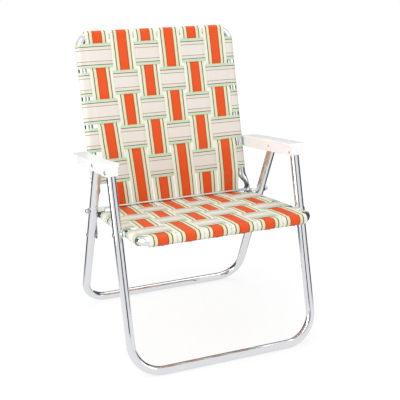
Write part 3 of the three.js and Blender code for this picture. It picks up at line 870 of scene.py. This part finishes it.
TURNED = {"steel": "plated_steel", "nylon": "nylon"}  # the material of each slot
HEAD_RISE = 2.4 * MM
SHANK = 3.2 * MM
STOP_BORE = 3.3 * MM
ROD_EDGE = 0.7 * MM


def turned_piece(name, body, slot, node, side, profile, segments=28):
    """A turned piece in place of a node; profile makes its outline from what reach_of says."""
    bm = bmesh.new()
    spun(bm, profile(*reach_of(node, side)), on_axis(node, side), segments)
    bmesh.ops.remove_doubles(bm, verts=bm.verts, dist=1e-6)
    outward(bm)
    dress(finished(name, bm, TURNED[slot]), body, slot, node)


def inner_dome(radius, rise, at):
    """Profile of a dome on a piece's inner side, from its middle to its rim."""
    return [(0, at - rise)] + dome(radius, rise, at, -1)[-2::-1]


def headed(near, far, head, shank, tail, inset=0):
    """A rivet with a dome outside and a smaller rolled end inside."""
    near += inset
    start = far - HEAD_RISE
    rim = start + HEAD_RISE * 0.25
    outside = dome(head * 0.97, HEAD_RISE * 0.75, rim, 1)[:-1] + [(0, far)]
    side = [(shank, near), (shank, start), (head, start), (head, rim)]
    return inner_dome(shank * 1.35, tail, near) + side + outside


def headless(near, far, shank):
    """The inner part of a rivet whose head is on another body."""
    return inner_dome(shank * 1.5, sizes().rivet_lip, near) + [(shank, near), (shank, far), (0, far)]


def collar(near, far, radius, bore, edge):
    """A ring with rounded edges."""
    return [(bore, near), (radius - edge, near), (radius, near + edge), (radius, far - edge),
            (radius - edge, far), (bore, far), (bore, near)]


class CHAIR_OT_rivets(bpy.types.Operator):
    """Rivets, washers and spacers of the pivots"""
    bl_idname = "garden_chair.rivets"
    bl_label = "Rivets and spacers"

    def execute(self, context):
        in_arm = partial(headed, shank=SHANK, tail=sizes().rivet_lip)
        in_seat = partial(headed, shank=3.6 * MM, tail=HEAD_RISE, inset=HEAD_RISE)
        in_leg = partial(headed, shank=SHANK, tail=0.1 * MM)
        ring = partial(collar, edge=0.4 * MM)
        for hand, side in HANDS.items():
            for name, body, slot, node, profile in (
                ("front_arm_pin", f"{hand}_arm", "steel", "arm_front_rivet", in_arm),
                ("rear_arm_pin", f"{hand}_arm", "steel", "arm_rear_rivet", in_arm),
                ("seat_pin", "front_legs", "steel", "seat_pivot_rivet", in_seat),
                ("back_pin", "back", "steel", "lower_back_rivet", headless),
                ("back_pin_head", "rear_legs", "steel", "lower_back_rivet_head", in_leg),
                ("seat_collar", "front_legs", "nylon", "seat_spacer", partial(ring, bore=3.9 * MM)),
                ("back_collar", "back", "nylon", "lower_back_washer", partial(ring, bore=3.5 * MM)),
                ("rod_collar", "back", "steel", "rod_washer", partial(ring, bore=4.3 * MM)),
            ):
                turned_piece(f"{name}_{hand}", body, slot, f"{node}_{hand}", side, profile)
        return {"FINISHED"}


class CHAIR_OT_stops(bpy.types.Operator):
    """Stop bolts with their sleeves, washers and caps, which hold the chair open"""
    bl_idname = "garden_chair.stops"
    bl_label = "Stop bolts"

    def execute(self, context):
        ring = partial(collar, bore=STOP_BORE)
        for hand, side in HANDS.items():
            for name, slot, node, profile, segments in (
                ("stop_tube", "nylon", "stop_sleeve", partial(ring, edge=0.6 * MM), 28),
                ("stop_disc", "steel", "stop_washer", partial(ring, edge=0.35 * MM), 28),
                ("stop_nut", "steel", "stop_cap", self.cap, 32),
                ("stop_screw", "steel", "stop_bolt", self.bolt, 28),
            ):
                node = f"{node}_{hand}"
                turned_piece(f"{name}_{hand}", "rear_legs", slot, node, side, profile, segments)
        return {"FINISHED"}

    def cap(self, near, far, radius):
        """A domed cap, hollow up to the bolt's end."""
        span = far - near
        shoulder = near + span * 0.5
        hollow = [(0, near + span * 0.55), (STOP_BORE, near + span * 0.55), (STOP_BORE, near)]
        wall = [(radius * 0.94, near), (radius, near + 0.5 * MM), (radius, shoulder)]
        return hollow + wall + dome(radius, far - shoulder, shoulder, 1)[1:-1] + [(0, far)]

    def bolt(self, near, far, head):
        """A bolt with a round head on the inside."""
        under, rim = near + 3.2 * MM, near + 1.92 * MM
        shank, edge = 3 * MM, 0.5 * MM
        end = [(shank, far - edge), (shank - edge, far), (0, far)]
        return inner_dome(head, rim - near, rim) + [(head, under), (shank, under)] + end


class CHAIR_OT_rod(bpy.types.Operator):
    """Crease rod that the webbing turns round, with peened ends"""
    bl_idname = "garden_chair.rod"
    bl_label = "Crease rod"

    def execute(self, context):
        turned_piece("crease_bar", "back", "steel", "crease_rod", 1, self.bar, 24)
        return {"FINISHED"}

    def bar(self, _, far, radius):
        """The rod from end to end; it is as long on either side."""
        end = [(0, far), (radius - ROD_EDGE, far), (radius, far - ROD_EDGE)]
        shaft = [(radius, x) for x in spread(far * 0.9, -far * 0.9, 9)]
        return end + shaft + [(r, -x) for r, x in reversed(end)]


# ---- Strap screws

HEM_FACE = 1.7  # from the strap's middle to the hem's outside, in thicknesses


def screw_place(place, point, out):
    """A place whose X points out of the strap's hem."""
    normal = (place.to_3x3() @ out).normalized()
    turn = normal.to_track_quat("X", "Z").to_matrix().to_4x4()
    return Matrix.Translation(place @ point) @ turn


def strap_screws(name, body, places):
    """Small domed screws with a recess, all of one body in one piece."""
    bm = bmesh.new()
    head, rise, rim = 3.9 * MM, 1.7 * MM, 0.4 * MM
    shank, tip = 1.6 * MM, -1.2 * MM
    profile = [(0, tip), (shank, tip), (shank, 0), (head, 0), (head, rim)]
    profile += dome(head * 0.96, rise - rim, rim, 1)[1:-1]
    profile += [(head * 0.16, rise * 0.98), (head * 0.12, rise * 0.55), (0, rise * 0.5)]
    for place in places:
        spun(bm, profile, place, 12)
    bmesh.ops.remove_doubles(bm, verts=bm.verts, dist=1e-7)
    outward(bm)
    piece = finished(name, bm, "plated_steel")
    dress(piece, body, "steel")


class CHAIR_OT_screws(bpy.types.Operator):
    """Screws that hold the hems of the straps on the tubes"""
    bl_idname = "garden_chair.screws"
    bl_label = "Strap screws"

    def execute(self, context):
        radius = WEB_FACE + sizes().web_thickness * HEM_FACE
        angle = RIGHT_ANGLE + sizes().web_wrap - sizes().hem / radius / 2
        out_s, out_h = math.cos(angle), math.sin(angle)
        for body, (place, rail_s, way, _, _, _) in WEBS.items():
            places = []
            for run in row_runs(body):
                for side in HANDS.values():
                    out = Vector((-side * out_s, 0, out_h))
                    point = Vector((side * FRAME_X, rail_s + way * run, 0)) + out * radius
                    places.append(screw_place(place, point, out))
            for column in range(WEB_COLUMNS):
                out = Vector((0, way * out_s, out_h))
                point = Vector((column_x(column), rail_s, 0)) + out * radius
                places.append(screw_place(place, point, out))
            strap_screws(f"{body}_strap_screws", body, places)
        return {"FINISHED"}


# ---- Arms

ARM_LENGTH = 371.9 * MM
ARM_LEAD = 19 * MM  # from the front end to the front pin
ARM_SIDE = 2.9 * MM  # from a leg's side to the channel's outside
ARM_WALL = 2.6 * MM
ARM_TOP = 3.4 * MM
ARM_INNER = LEG_X - TUBE_RADIUS - ARM_SIDE
ARM_OUTER = LEG_X + TUBE_RADIUS + ARM_SIDE
ARM_RISE = 25.8 * MM
ARM_DROP = 9.6 * MM
ARM_EDGE = 5.0 * MM
INNER_RIM = 6 * MM
OUTER_RIM = 17 * MM
LEAST_RIM = 0.4 * MM
RIB_RUNS = (0.62, 0.69, 0.76, 0.83)
RIB_THICKNESS = 1.8 * MM
RIB_HEIGHT = 7 * MM
RIB_MIDDLE = 19.5 * MM  # above the arm's pins
# Share of the length; then shares of the height, skirt, inner rim and outer rim; then how drawn in.
ARM_STATIONS = (
    (0.000, 0.80, 0.70, 0.5, 0.80, 0.00),
    (0.012, 1.00, 1.00, 1.0, 1.00, 0.00),
    (0.080, 1.00, 1.00, 1.0, 1.00, 0.00),
    (0.300, 1.00, 1.00, 0.0, 1.00, 0.00),
    (0.620, 1.00, 1.00, 0.0, 1.00, 0.00),
    (0.840, 1.00, 1.00, 0.0, 0.95, 0.00),
    (0.940, 0.94, 0.85, 0.0, 0.78, 0.06),
    (0.985, 0.80, 0.40, 0.0, 0.45, 0.20),
    (1.000, 0.60, -0.40, 0.0, 0.15, 0.45),
)
# Where the arm's sections lie, as shares of its length, and whether the channel is open there.
HOLLOW_RUNS = [0.0085, 0.012] + spread(0.03, 0.86, 30) + spread(0.868, 0.898, 4)
ARM_RUNS = [(run, False) for run in (0, 0.004, 0.008)] + [(run, True) for run in HOLLOW_RUNS]
ARM_RUNS += [(run, False) for run in [0.9] + spread(0.91, 1.0, 12)]


def arm_station(run):
    """The arm's shares at a run, eased between the listed stations."""
    for before, after in zip(ARM_STATIONS, ARM_STATIONS[1:]):
        if run <= after[0] + 1e-9:
            share = smooth((run - before[0]) / (after[0] - before[0]))
            return [a + (b - a) * share for a, b in zip(before[1:], after[1:])]
    return list(ARM_STATIONS[-1][1:])


def rounded_corner(before, corner, after, radius):
    """Points of an arc-like curve that replaces a corner."""
    corner = Vector(corner)
    to_before, to_after = Vector(before) - corner, Vector(after) - corner
    start = corner + to_before.normalized() * min(radius, to_before.length * 0.45)
    end = corner + to_after.normalized() * min(radius, to_after.length * 0.45)
    points = []
    for t in spread(0, 1, 4):
        points.append(start * (1 - t) ** 2 + corner * 2 * t * (1 - t) + end * t ** 2)
    return points


def arm_outline(run, hollow):
    """The arm's section at a run: the outside from the inner skirt over the top, then the channel."""
    top, drop, in_rim, out_rim, narrow = arm_station(run)
    draw = (ARM_OUTER - ARM_INNER) / 2 * narrow
    in_wall, out_wall = ARM_INNER + draw, ARM_OUTER - draw
    in_edge = in_wall - INNER_RIM * in_rim - LEAST_RIM
    out_edge = out_wall + OUTER_RIM * out_rim + LEAST_RIM
    high, low = ARM_RISE * top, -ARM_DROP * drop
    under = max(high - ARM_EDGE, low + ARM_EDGE / 4)
    corners = [
        ((in_wall, low), 0.9), ((in_wall, under), 2.4), ((in_edge, under), 1.3),
        ((in_edge, high), 3.2), ((out_edge, high), 3.2),
        ((out_edge, under), 1.3), ((out_wall, under), 2.4), ((out_wall, low), 0.9),
    ]
    ceiling = (ARM_RISE - ARM_TOP) * top if hollow else low + 0.05 * MM
    corners += [
        ((out_wall - ARM_WALL, low), 0.5), ((out_wall - ARM_WALL, ceiling), 1.5),
        ((in_wall + ARM_WALL, ceiling), 1.5), ((in_wall + ARM_WALL, low), 0.5),
    ]
    points = []
    for k, (corner, radius) in enumerate(corners):
        before, after = corners[k - 1][0], corners[(k + 1) % len(corners)][0]
        reach = radius * MM if hollow or k < 8 else 0.02 * MM
        points += rounded_corner(before, corner, after, reach)
    return points


class CHAIR_OT_arms(bpy.types.Operator):
    """White moulded arms: a channel open below that takes the tops of both legs"""
    bl_idname = "garden_chair.arms"
    bl_label = "Arms"

    def execute(self, context):
        for hand, side in HANDS.items():
            rings = []
            for run, hollow in ARM_RUNS:
                s = run * ARM_LENGTH - ARM_LEAD
                rings.append([ARM @ Vector((x * side, s, h)) for x, h in arm_outline(run, hollow)])
            around = spread(0, 1, len(rings[0]) + 1)
            bm = laid_grid(rings, "arm", around, [run for run, _ in ARM_RUNS], closed=True)
            closed_ends(bm)
            piece = finished(f"arm_rest_{hand}", bm, "arm_plastic", 0.6)
            dress(piece, f"{hand}_arm", "arm", f"arm_{hand}")
            self.ribs(hand, side)
        return {"FINISHED"}

    def ribs(self, hand, side):
        """Thin cross ribs in the channel's top, clear of the rear leg that folds into it."""
        bm = bmesh.new()
        x = (ARM_INNER + ARM_OUTER) / 2 * side
        size = (ARM_OUTER - ARM_INNER - 2 * ARM_WALL, RIB_THICKNESS, RIB_HEIGHT)
        for run in RIB_RUNS:
            made = bmesh.ops.create_cube(bm, size=1)["verts"]
            bmesh.ops.scale(bm, vec=size, verts=made)
            bmesh.ops.translate(bm, vec=(x, run * ARM_LENGTH - ARM_LEAD, RIB_MIDDLE), verts=made)
        bmesh.ops.transform(bm, matrix=ARM, verts=bm.verts)
        piece = finished(f"arm_ribs_{hand}", bm, "arm_plastic")
        bevelled(piece, 0.3 * MM)
        dress(piece, f"{hand}_arm", "arm")


# ---- Stage

CAMERA_AT = Vector((-0.8107, -2.1159, 1.1172))
CAMERA_WAY = Vector((0.3522, 0.8864, -0.3003))
CAMERA_ROLL = math.radians(-0.80)
CAMERA_LENS = 70.93
AHEAD = math.atan2(CAMERA_WAY.y, CAMERA_WAY.x)
CARD_DARK = (0.085, 0.085, 0.095, 1)
CARD_STEPS = 25
# Name, centre, radius, start and end of the turn from the camera's way, lower and upper edge.
CARDS = (
    ("card_behind", (0, 0), 1.15, -1.75, 1.9, 0, 0.95),
    ("card_near_camera", (-0.36, -1.32), 0.27, -1.57, 1.57, 0.15, 1.5),
)
# Name, place, diameter and power.
LAMPS = (
    ("key", (-1.8, -2.2, 2.9), 2.2, 31),
    ("fill", (2.3, -1.6, 1.9), 2.0, 13),
    ("side", (-2.3, -0.5, 1.0), 1.6, 24),
    ("top", (0.2, 0.6, 3.2), 2.6, 20),
)
LAMP_AIM = Vector((0, 0, 0.45))
FLOOR_HALF = 6
FLOOR_GLOW = 0.72  # share of white glow in the floor's middle
FLOOR_GLOW_START = 0.35  # from the middle to where the glow starts to grow
FLOOR_GLOW_RISE = 0.5  # growth per metre
FLOOR_DARK_START = 0.46  # from the middle to the stretch that tubes see dark
FLOOR_DARK = (0.09, 0.09, 0.10, 1)
WHITE = (1, 1, 1, 1)


def aimed(place, way, roll=0):
    """The matrix of a lamp or camera that looks along a way, turned by roll about it."""
    turn = way.to_track_quat("-Z", "Y").to_matrix().to_4x4()
    return Matrix.Translation(place) @ turn @ Matrix.Rotation(roll, 4, "Z")


class CHAIR_OT_stage(bpy.types.Operator):
    """Floor, dark cards, lamps, world and camera"""
    bl_idname = "garden_chair.stage"
    bl_label = "Stage"

    def execute(self, context):
        self.materials()
        bm = bmesh.new()
        bmesh.ops.create_grid(bm, x_segments=1, y_segments=1, size=FLOOR_HALF)
        finished("floor", bm, "studio_floor")
        for card in CARDS:
            self.card(*card)
        for lamp in LAMPS:
            self.lamp(*lamp)
        self.world()
        self.camera()
        context.scene.view_settings.view_transform = "Standard"
        return {"FINISHED"}

    def card(self, name, centre, radius, start, end, low, high):
        """A bent dark card that only polished pieces see."""
        ring = arc(centre, radius, AHEAD + start, AHEAD + end, CARD_STEPS)
        rows = [[Vector((x, y, z)) for x, y in ring] for z in (low, high)]
        bm = laid_grid(rows, "card", spread(0, 1, CARD_STEPS), [low, high])
        card = finished(name, bm, "dark_card")
        for kind in ("camera", "diffuse", "shadow", "transmission"):
            setattr(card, f"visible_{kind}", False)

    def seen(self, tree):
        """1 for rays from the camera and from shiny surfaces."""
        rays = added(tree, "LightPath")
        return math_node(tree, "MAXIMUM", rays.outputs["Is Camera Ray"], rays.outputs["Is Glossy Ray"])

    def mix(self, tree, share, plain, seen, output):
        """Gives an output the plain shader, with the seen one over it by a share."""
        mix = added(tree, "MixShader", Fac=share)
        feed_socket(tree, mix.inputs[1], plain)
        feed_socket(tree, mix.inputs[2], seen)
        feed(tree, tree.nodes[output], Surface=mix.outputs["Shader"])

    def materials(self):
        """A floor that is lit near the chair and glows farther out, and the cards' dark material."""
        tree, shader = new_material(
            "studio_floor", Base_Color=tuple(colours().floor), Roughness=0.9, Specular_IOR_Level=0.1)
        calc = partial(math_node, tree)
        reach = vector_node(tree, "LENGTH", object_place(tree))
        light = added(tree, "Emission", Color=self.floor_light(tree, reach), Strength=1.03)
        away = calc("SUBTRACT", reach, FLOOR_GLOW_START, clamp=True)
        glow = calc("ADD", calc("MULTIPLY", away, FLOOR_GLOW_RISE), FLOOR_GLOW, clamp=True)
        share = calc("MULTIPLY", self.seen(tree), glow)
        self.mix(tree, share, shader.outputs["BSDF"], light.outputs["Emission"], "Material Output")
        new_material("dark_card", Base_Color=CARD_DARK, Roughness=1.0)

    def floor_light(self, tree, reach):
        """White, but dark to polished pieces in a stretch behind the chair, for dark tube edges."""
        calc = partial(math_node, tree)
        way = Vector((CAMERA_WAY.x, CAMERA_WAY.y, 0)).normalized()
        turned = calc("DIVIDE", vector_node(tree, "DOT_PRODUCT", object_place(tree), way), reach)
        sector = calc("MULTIPLY", calc("SUBTRACT", turned, 0.1), 8.0, clamp=True)
        far = calc("MULTIPLY", calc("SUBTRACT", reach, FLOOR_DARK_START), 6.0, clamp=True)
        glossy = added(tree, "LightPath").outputs["Is Glossy Ray"]
        dark = calc("MULTIPLY", calc("MULTIPLY", sector, far), glossy)
        return mixed(tree, dark, WHITE, FLOOR_DARK)

    def lamp(self, name, place, size, energy):
        """A round area lamp that points at the chair's middle."""
        data = bpy.data.lights.new(name, "AREA")
        data.shape = "DISK"
        data.size = size
        data.energy = energy
        added_object(name, data).matrix_world = aimed(place, LAMP_AIM - Vector(place))

    def world(self):
        world = bpy.data.worlds.new("studio")
        world.use_nodes = True
        tree = world.node_tree
        plain = feed(tree, tree.nodes["Background"], Color=(0.96, 0.98, 1, 1), Strength=0.72)
        seen = added(tree, "Background", Color=WHITE, Strength=1.0)
        outputs = plain.outputs["Background"], seen.outputs["Background"]
        self.mix(tree, self.seen(tree), *outputs, "World Output")
        bpy.context.scene.world = world

    def camera(self):
        """The camera where the photo was taken from, turned a little about its own axis."""
        data = bpy.data.cameras.new("camera")
        data.lens = CAMERA_LENS
        data.sensor_width = 36
        data.clip_end = 50
        camera = added_object("camera", data)
        camera.matrix_world = aimed(CAMERA_AT, CAMERA_WAY, CAMERA_ROLL)
        bpy.context.scene.camera = camera


# ---- Panel and registration

OPERATORS = (
    CHAIR_OT_stage, CHAIR_OT_legs, CHAIR_OT_frames, CHAIR_OT_cross_straps, CHAIR_OT_long_straps,
    CHAIR_OT_rod, CHAIR_OT_rivets, CHAIR_OT_stops, CHAIR_OT_screws, CHAIR_OT_arms,
)


class CHAIR_PT_builder(bpy.types.Panel):
    """Lists the chair's pieces, sizes and colours"""
    bl_idname = "CHAIR_PT_builder"
    bl_label = "Garden chair"
    bl_space_type = "VIEW_3D"
    bl_region_type = "UI"
    bl_category = "Chair"

    def draw(self, context):
        for operator in OPERATORS:
            self.layout.operator(operator.bl_idname)
        for group in (context.scene.chair_sizes, context.scene.chair_colours):
            for key in type(group).__annotations__:
                self.layout.prop(group, key)


CLASSES = (ChairSizes, ChairColours) + OPERATORS + (CHAIR_PT_builder,)


def register():
    for cls in CLASSES:
        bpy.utils.register_class(cls)
    bpy.types.Scene.chair_sizes = PointerProperty(type=ChairSizes)
    bpy.types.Scene.chair_colours = PointerProperty(type=ChairColours)


def unregister():
    del bpy.types.Scene.chair_colours
    del bpy.types.Scene.chair_sizes
    for cls in reversed(CLASSES):
        bpy.utils.unregister_class(cls)


def main():
    register()
    build_materials()
    for operator in OPERATORS:
        group, name = operator.bl_idname.split(".")
        getattr(getattr(bpy.ops, group), name)()


if __name__ == "__main__":
    main()
